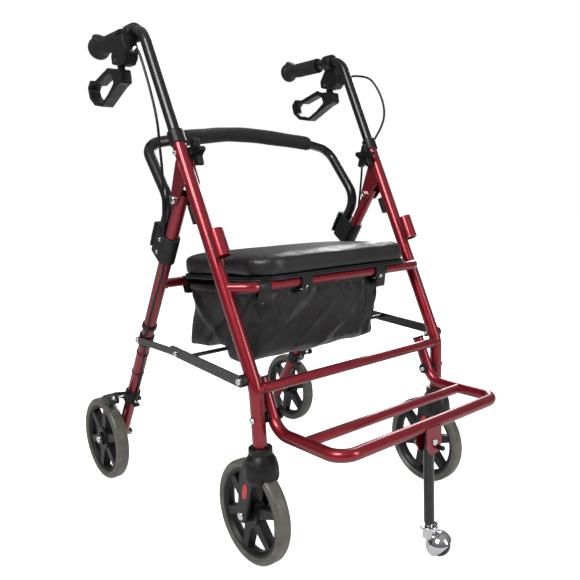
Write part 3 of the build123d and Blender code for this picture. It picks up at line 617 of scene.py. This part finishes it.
# folds in the front cloth: start and end as shares across and up, width and height in mm
FRONT_FOLDS = [(0.50, 0.95, 0.04, 0.30, 11, 5.0), (0.86, 0.98, 0.52, 0.12, 12, 5.5),
               (0.97, 0.80, 0.80, 0.15, 9, 5.0), (0.20, 0.22, 0.62, 0.10, 10, 4.0),
               (0.60, 0.80, 0.30, 0.18, 8, -4.5), (0.92, 0.60, 0.99, 0.20, 7, -5.0),
               (0.10, 0.90, 0.16, 0.50, 8, 4.0), (0.70, 0.45, 0.88, 0.10, 8, 4.0)]
SIDE_FOLDS = [(0.05, 0.95, 0.45, 0.10, 10, 5.0), (0.95, 0.90, 0.55, 0.30, 11, 5.0),
              (0.35, 0.80, 0.80, 0.12, 9, -5.5), (0.15, 0.55, 0.25, 0.08, 9, 4.0)]


def fold_heights(u, v, size_u, size_v, folds):
    """Sum of the folds' heights at shares u, v of a cloth panel, all sizes in mm."""
    total = np.zeros(len(u))
    x, y = u * size_u, v * size_v
    for u0, v0, u1, v1, width, height in folds:
        start = np.array((u0 * size_u, v0 * size_v))
        along = np.array((u1 * size_u, v1 * size_v)) - start
        t = ((x - start[0]) * along[0] + (y - start[1]) * along[1]) / (along @ along)
        near = np.clip(t, 0, 1)
        away = np.hypot(x - start[0] - near * along[0], y - start[1] - near * along[1])
        total += height * np.sin(math.pi * (0.12 + 0.76 * near)) * np.exp(-(away / width) ** 2)
    return total


def below_mouth(co):
    """Distance of each point below the bag's open mouth."""
    (front_y, front_z), (rear_y, rear_z) = BAG_SIDE[0], BAG_SIDE[-1]
    share = (co[:, 1] / MM - front_y) / (rear_y - front_y)
    return (front_z + (rear_z - front_z) * share) * MM - 4 * MM - co[:, 2]


def bag():
    low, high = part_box("bag")
    count = len(BAG_SIDE)
    vertices = [(x, y * MM, z * MM) for x in (low.x + 2.5 * MM, high.x - 2.5 * MM) for y, z in BAG_SIDE]
    faces = [tuple(range(count)), tuple(range(2 * count - 1, count - 1, -1))]
    for k in range(count):
        m = (k + 1) % count
        faces.append((m, k, k + count, m + count))
    piece = new_piece("tote_bag", vertices, faces, "nylon")
    remesh(piece, 5 * MM)
    smooth(piece, 0.5, 5)
    fold_fabric(piece, low, high)
    pinned = [int(i) for i in np.nonzero(below_mouth(coordinates(piece)) < 9 * MM)[0]]
    cloth(piece, pressure=0.6, cap=6 * MM, frames=16, pinned=pinned, slack=0.02)
    keep_clear_of_rod(piece)
    keep_clear_of_clamps(piece)
    open_mouth(piece)
    subdivide(piece)
    hem(piece)
    thick = piece.modifiers.new("thickness", "SOLIDIFY")
    thick.thickness = 1.6 * MM
    thick.offset = -1
    bake_modifiers(piece)
    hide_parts("bag")
    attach(piece, "front_frame")
    squash_with_fold(piece)


def open_mouth(piece):
    """Cuts the closed bag open along its mouth."""
    (front_y, front_z), (rear_y, rear_z) = BAG_SIDE[0], BAG_SIDE[-1]
    normal = Vector((0, front_z - rear_z, rear_y - front_y)).normalized()
    bm = bmesh.new()
    bm.from_mesh(piece.data)
    bmesh.ops.bisect_plane(bm, geom=bm.verts[:] + bm.edges[:] + bm.faces[:], dist=1e-5,
                           plane_co=(0, front_y * MM, (front_z - 4) * MM), plane_no=normal, clear_outer=True)
    bmesh.ops.recalc_face_normals(bm, faces=bm.faces[:])
    bm.to_mesh(piece.data)
    bm.free()
    piece.data.polygons.foreach_set("use_smooth", [True] * len(piece.data.polygons))


def hem(piece):
    """Doubled cloth round the mouth with a stitched groove under it."""
    co = coordinates(piece)
    normals = np.array([v.normal for v in piece.data.vertices], float)
    depth = below_mouth(co) / MM
    band = np.clip((13 - depth) / 1.5, 0, 1) * 0.8
    groove = np.exp(-((depth - 14.5) / 1.4) ** 2) * 0.9
    set_coordinates(piece, co + normals * ((band - groove) * MM)[:, None])


def fold_fabric(piece, low, high):
    """Folds and pleats in the front and side panels."""
    co = coordinates(piece)
    size = np.array(high - low) / MM
    u = (co[:, 0] - low.x) / (high.x - low.x)
    v = (co[:, 1] - low.y) / (high.y - low.y)
    t = (co[:, 2] - low.z) / (high.z - low.z)
    quiet = np.clip(below_mouth(co) / (16 * MM), 0, 1)
    front_y = np.interp(co[:, 2] / MM, (356, 430, 494), (-149, -167, -176)) * MM
    front = np.clip(1 - (co[:, 1] - front_y) / (14 * MM), 0, 1) * quiet
    pleats = 2.6 * np.sin(u * 70) * np.clip((u - 0.80) / 0.1, 0, 1) * np.clip((0.98 - u) / 0.03, 0, 1)
    co[:, 1] -= front * (fold_heights(u, t, size[0], size[2], FRONT_FOLDS) + pleats) * MM
    side = np.clip((0.04 - u) / 0.03, 0, 1) + np.clip((u - 0.96) / 0.03, 0, 1)
    lean = fold_heights(v, t, size[1], size[2], SIDE_FOLDS) - 5 * np.sin(np.clip(t, 0, 1) * math.pi)
    co[:, 0] += np.sign(u - 0.5) * side * quiet * lean * MM
    floor = np.clip(1 - t / 0.15, 0, 1)
    co[:, 2] -= floor * (2.0 * np.sin(u * 13 + 1) + 1.5 * np.sin(u * 29)) * MM
    set_coordinates(piece, co)


def keep_clear_of_rod(piece):
    rod_low, rod_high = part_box("cross_rod")
    rod_y = (rod_low.y + rod_high.y) / 2
    co = coordinates(piece)
    near = np.abs(co[:, 1] - rod_y) < 9 * MM
    lowest = rod_high.z + 1.2 * MM
    co[near, 2] = np.maximum(co[near, 2], lowest)
    set_coordinates(piece, co)


def keep_clear_of_clamps(piece):
    """Dents the front cloth where the seat clamps stand against it."""
    low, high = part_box("seat_clamps")
    clamp_x = high.x - 12 * MM
    co = coordinates(piece)
    across = np.clip((18 * MM - np.abs(np.abs(co[:, 0]) - clamp_x)) / (5 * MM), 0, 1)
    up = np.clip((co[:, 2] - low.z + 6 * MM) / (6 * MM), 0, 1)
    target = high.y + 1.5 * MM
    push = np.clip(target - co[:, 1], 0, 16 * MM) * (co[:, 1] < 0)
    co[:, 1] += across * up * push
    set_coordinates(piece, co)


def seat_tube_centres():
    front = Vector(joint["seat_flip"]["pos_m"])
    return front, Vector((0, REAR_TUBE_Y, REAR_TUBE_Z))


REAR_TUBE_Y = 0.0888
REAR_TUBE_Z = 0.480
SEAT_TUBE_R = 9.5 * MM


def squash_with_fold(piece):
    """Gives the bag its own copy of its mesh data."""
    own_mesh(piece)


def strap(name, centre, x, width, tail, body):
    """Webbing loop around a seat tube with two tails down to the bag."""
    radius = SEAT_TUBE_R + 0.6 * MM
    thick = 1.2 * MM
    path = []
    lean = Vector((0, tail[0], tail[1]))
    for i in range(25):
        angle = math.radians(-60 + 300 * i / 24)
        path.append(Vector((0, math.cos(angle) * radius, math.sin(angle) * radius)))
    end = path[0] + lean
    other = path[-1] + lean
    path = [end] + path + [other]
    vertices = []
    for i, p in enumerate(path):
        before = path[max(i - 1, 0)]
        after = path[min(i + 1, len(path) - 1)]
        tangent = (after - before).normalized()
        out = Vector((1, 0, 0)).cross(tangent) * -1
        for dx, dr in ((-width / 2, 0), (width / 2, 0), (width / 2, thick), (-width / 2, thick)):
            q = Vector(centre) + p + out * dr
            vertices.append(Vector((x + dx, q.y, q.z)))
    faces = []
    for i in range(len(path) - 1):
        for k in range(4):
            m = (k + 1) % 4
            faces.append((i * 4 + k, i * 4 + m, (i + 1) * 4 + m, (i + 1) * 4 + k))
    faces += [(3, 2, 1, 0), tuple(range(len(vertices) - 4, len(vertices)))]
    piece = new_piece(name, vertices, faces, "nylon")
    bevel = piece.modifiers.new("bevel", "BEVEL")
    bevel.width = 0.35 * MM
    bevel.segments = 2
    bake_modifiers(piece)
    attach(piece, body)


def snap(name, place, direction, body):
    profile = [(0, 1.5 * MM), (0, 5.6 * MM), (0.7 * MM, 5.4 * MM), (1.3 * MM, 4.4 * MM),
               (0.8 * MM, 3.4 * MM), (0.8 * MM, 2.4 * MM), (1.5 * MM, 1.6 * MM), (1.7 * MM, 0.5 * MM)]
    piece = lathe(name, place, direction, profile, "chrome", segments=28)
    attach(piece, body)


def bag_fittings():
    """Webbing loops that hang the bag on the seat tubes, with ring snaps."""
    low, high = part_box("bag")
    front, rear = seat_tube_centres()
    near = low.x + 1 * MM
    far = high.x - 21 * MM
    for name, x, drop in (("right", near, 15), ("left", far, 19)):
        strap(f"strap_front_{name}", front, x, 25 * MM, (4 * MM, -(drop + 6) * MM), "front_frame")
        place = (x + 3 * MM, low.y - 4.5 * MM, front.z - (drop + 12) * MM)
        snap(f"snap_{name}", place, (0, -1, 0.12), "front_frame")
    strap("strap_rear_right", rear, low.x + 15 * MM, 30 * MM, (-7 * MM, -16 * MM), "rear_frame")
    strap("strap_rear_left", rear, far, 30 * MM, (-7 * MM, -16 * MM), "rear_frame")


# ---- brake cables ----
def cable(side, upper, lower):
    name = "right" if side < 0 else "left"
    top = spline([Vector((side * x, y, z)) * MM for x, y, z in upper])
    bottom = spline([Vector((side * x, y, z)) * MM for x, y, z in lower])
    radius = 2.5 * MM
    high = tube(f"cable_upper_{name}", top, radius, "cable_sheath")
    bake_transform(high)
    low = tube(f"cable_lower_{name}", bottom, radius, "cable_sheath")
    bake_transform(low)


CABLE_LOWER = [(263, 15, 745), (261, 16, 690), (258, 31, 590), (253.4, 52, 514), (253, 101, 443),
               (252.3, 138, 389), (252.3, 158, 357), (243, 184, 317), (239, 226, 246), (237, 246, 222)]


def brake_cables():
    near = [(272, 69, 928), (271, 58, 921), (268, 44, 885), (264, 30, 835), (263, 19, 790), (263, 15, 745)]
    far = [(272, 69, 928), (274, 36, 927), (278, -6, 912), (282, -36, 865), (283, -39, 818),
           (276, -10, 770), (263, 15, 745)]
    cable(-1, near, CABLE_LOWER)
    cable(1, far, CABLE_LOWER)


def cable_ties():
    """Black ties that hold the cable to the rear leg."""
    hinge = Vector(joint["frame_fold"]["pos_m"])
    axle = Vector(joint["rear_wheel_spin_left"]["pos_m"])
    for word, z, toward in (("upper", 0.322, -68), ("lower", 0.272, -83)):
        y = hinge.y + (axle.y - hinge.y) * (hinge.z - z) / (hinge.z - axle.z)
        for side, name in ((1, "left"), (-1, "right")):
            leg = Vector((side * 0.02207, (hinge.y - axle.y) / (hinge.z - axle.z), 1)).normalized()
            across = Vector((1, 0, 0)) - leg * leg.x
            along = leg.cross(across)
            centre = Vector((side * (0.2326 + 0.02207 * z + 0.0004), y, z))
            curve = []
            bulge = math.radians(toward if side > 0 else 180 - toward)
            for k in range(36):
                angle = 2 * math.pi * k / 36
                reach = 12.7 + 4.8 * max(0.0, math.cos(angle - bulge)) ** 8
                curve.append(centre + (across * math.cos(angle) + along * math.sin(angle)) * reach * MM)
            piece = tube(f"tie_{word}_{name}", curve, 1.2 * MM, "black_plastic", sides=8, closed=True)
            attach(piece, "rear_frame")


# ---- small details ----
def weld(name, centre, axis, radius, body, material="red_paint"):
    """Rippled weld bead around a tube's end."""
    axis = Vector(axis).normalized()
    side = axis.orthogonal().normalized()
    top = axis.cross(side)
    curve = []
    for k in range(48):
        angle = 2 * math.pi * k / 48
        ripple = 0.25 * MM * math.sin(angle * 16)
        r = radius + 0.4 * MM + ripple
        curve.append(Vector(centre) + side * (r * math.cos(angle)) + top * (r * math.sin(angle))
                     + axis * ripple)
    piece = tube(name, curve, 1.5 * MM, material, sides=8, closed=True)
    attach(piece, body)


def grip_flares():
    """Upturned palm rest at each grip's rear end."""
    for side, name in ((1, "left"), (-1, "right")):
        low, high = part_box(f"grip_{name}")
        start = Vector(((low.x + high.x) / 2, high.y - 25 * MM, high.z - 13 * MM))
        out = Vector((side * 0.12, 0.80, 0.58)).normalized()
        profile = [(-4 * MM, 0.75), (2 * MM, 0.98), (10 * MM, 1.0), (17 * MM, 0.88), (23 * MM, 0.66),
                   (27 * MM, 0.42), (29 * MM, 0.16)]
        piece = lathe(f"flare_{name}", start, out, profile, "grip_rubber", squeeze=(17 * MM, 7 * MM),
                      up=(0, -0.58, 0.80))
        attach(piece, f"handle_{name}")


def welds():
    """Beads where the cross tubes meet the legs."""
    spots = (("low_bar", 239.8, -229.5, 325.0, "front_frame"), ("seat_rear", 243.2, 88.8, 480.0, "rear_frame"))
    for word, x, y, z, body in spots:
        for side, name in ((1, "left"), (-1, "right")):
            weld(f"weld_{word}_{name}", (side * (x - 12.4) * MM, y * MM, z * MM), (1, 0, 0), SEAT_TUBE_R, body)


def fork_insets():
    """Plain red oval inserts in the fork arms' faces."""
    for side, name in ((1, "left"), (-1, "right")):
        low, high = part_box(f"fork_{name}")
        pivot = Vector(joint[f"front_wheel_spin_{name}"]["pos_m"])
        swivel = Vector(joint[f"caster_swivel_{name}"]["pos_m"])
        middle = (low.x + high.x) / 2
        reach = 26.5 * MM
        lean = Vector((0, swivel.y + 6 * MM - pivot.y, 84 * MM)).normalized()
        centre = Vector((0, pivot.y - 1 * MM, pivot.z)) + lean * 52 * MM
        for face, word in ((1, "outer"), (-1, "inner")):
            x = middle + side * face * reach
            profile = [(-0.8 * MM, 1.0), (0.35 * MM, 1.0), (0.75 * MM, 0.93), (0.9 * MM, 0.8), (0.95 * MM, 0.3)]
            piece = lathe(f"inset_{word}_{name}", (x, centre.y, centre.z), (side * face, 0, 0),
                          profile, "red_plastic", segments=40,
                          squeeze=(7.4 * MM, 16 * MM), up=lean)
            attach(piece, f"caster_{name}")


# ---- stage, light and camera ----
CAMERA_PLACE = Vector((-0.8511, -1.1143, 0.6552))
CAMERA_YAW = -42.187
CAMERA_PITCH = -8.135
CAMERA_ROLL = -1.530
FOCAL_SHARE = 1.11990
PRINCIPAL = (0.58155, 0.49026)


def camera():
    data = bpy.data.cameras.new("camera")
    piece = bpy.data.objects.new("camera", data)
    bpy.context.scene.collection.objects.link(piece)
    data.sensor_width = 36
    data.lens = FOCAL_SHARE * 36
    data.shift_x = 0.5 - PRINCIPAL[0]
    data.shift_y = PRINCIPAL[1] - 0.5
    yaw, pitch, roll = map(math.radians, (CAMERA_YAW, CAMERA_PITCH, CAMERA_ROLL))
    back = Vector((math.sin(yaw) * math.cos(pitch), -math.cos(yaw) * math.cos(pitch), -math.sin(pitch)))
    right = (-back).cross(Vector((0, 0, 1))).normalized()
    up = right.cross(-back)
    across = right * math.cos(roll) + up * math.sin(roll)
    top = up * math.cos(roll) - right * math.sin(roll)
    turn = Matrix((across, top, back)).transposed().to_4x4()
    piece.matrix_world = Matrix.Translation(CAMERA_PLACE) @ turn
    data.clip_start = 0.05
    bpy.context.scene.camera = piece


def softbox(name, place, target, size, power, color=(1, 1, 1)):
    data = bpy.data.lights.new(name, "AREA")
    data.shape = "RECTANGLE"
    data.size, data.size_y = size
    data.energy = power
    data.color = color
    piece = bpy.data.objects.new(name, data)
    bpy.context.scene.collection.objects.link(piece)
    piece.location = place
    piece.rotation_mode = "QUATERNION"
    piece.rotation_quaternion = (Vector(target) - Vector(place)).to_track_quat("-Z", "Y")


def seen_by_camera(tree):
    """Output that is 1 for camera rays and 0 for all others."""
    return tree.nodes.new("ShaderNodeLightPath").outputs["Is Camera Ray"]


def floor():
    """Matte floor that looks white to the camera but lights the walker only a little."""
    size = 12.0
    piece = new_piece("floor", [(-size, -size, 0), (size, -size, 0), (size, size, 0), (-size, size, 0)],
                      [(0, 1, 2, 3)], "steel")
    finish = Finish("floor", (0.8, 0.8, 0.8), 0.7)
    finish.color(finish.noise(1.5), (0.78, 0.78, 0.78), (0.82, 0.82, 0.82))
    tree = finish.tree
    glow = tree.nodes.new("ShaderNodeMath")
    glow.operation = "MULTIPLY"
    glow.inputs[1].default_value = FLOOR_GLOW
    tree.links.new(seen_by_camera(tree), glow.inputs[0])
    tree.links.new(glow.outputs[0], finish.shader.inputs["Emission Strength"])
    finish.shader.inputs["Emission Color"].default_value = (1, 1, 1, 1)
    finish.shader.inputs["Specular IOR Level"].default_value = 0.1
    piece.data.materials.clear()
    piece.data.materials.append(finish.material)


FLOOR_GLOW = 0.9


def surroundings():
    """White to the camera; a dim room, brighter overhead, to everything else."""
    studio = bpy.data.worlds.new("studio")
    bpy.context.scene.world = studio
    studio.use_nodes = True
    tree = studio.node_tree
    room = tree.nodes["Background"]
    direction = tree.nodes.new("ShaderNodeTexCoord").outputs["Generated"]
    split = tree.nodes.new("ShaderNodeSeparateXYZ")
    tree.links.new(direction, split.inputs[0])
    ramp = tree.nodes.new("ShaderNodeValToRGB")
    ramp.color_ramp.elements[0].position = 0.42
    ramp.color_ramp.elements[0].color = (0.07, 0.07, 0.08, 1)
    ramp.color_ramp.elements[1].position = 1.0
    ramp.color_ramp.elements[1].color = (0.46, 0.46, 0.46, 1)
    lift = tree.nodes.new("ShaderNodeMapRange")
    lift.inputs["From Min"].default_value = -1.0
    tree.links.new(split.outputs["Z"], lift.inputs["Value"])
    tree.links.new(lift.outputs["Result"], ramp.inputs["Fac"])
    tree.links.new(ramp.outputs["Color"], room.inputs["Color"])
    white = tree.nodes.new("ShaderNodeBackground")
    mix = tree.nodes.new("ShaderNodeMixShader")
    tree.links.new(seen_by_camera(tree), mix.inputs["Fac"])
    tree.links.new(room.outputs[0], mix.inputs[1])
    tree.links.new(white.outputs[0], mix.inputs[2])
    tree.links.new(mix.outputs[0], tree.nodes["World Output"].inputs["Surface"])
    white.inputs["Color"].default_value = (1, 1, 1, 1)


def stage():
    floor()
    surroundings()
    softbox("key", (-1.9, -0.9, 2.3), (0, 0, 0.5), (1.2, 1.2), 60)
    softbox("rim", (1.9, 1.2, 1.8), (0, 0, 0.5), (0.9, 1.8), 45)
    softbox("front", (0.7, -2.5, 1.3), (0, -0.1, 0.4), (0.5, 1.6), 22)
    bpy.context.scene.view_settings.view_transform = "Standard"


finish_cad_nodes()
seat_cushion()
backrest_pad()
bag()
bag_fittings()
brake_cables()
cable_ties()
grip_flares()
welds()
fork_insets()
stage()
camera()
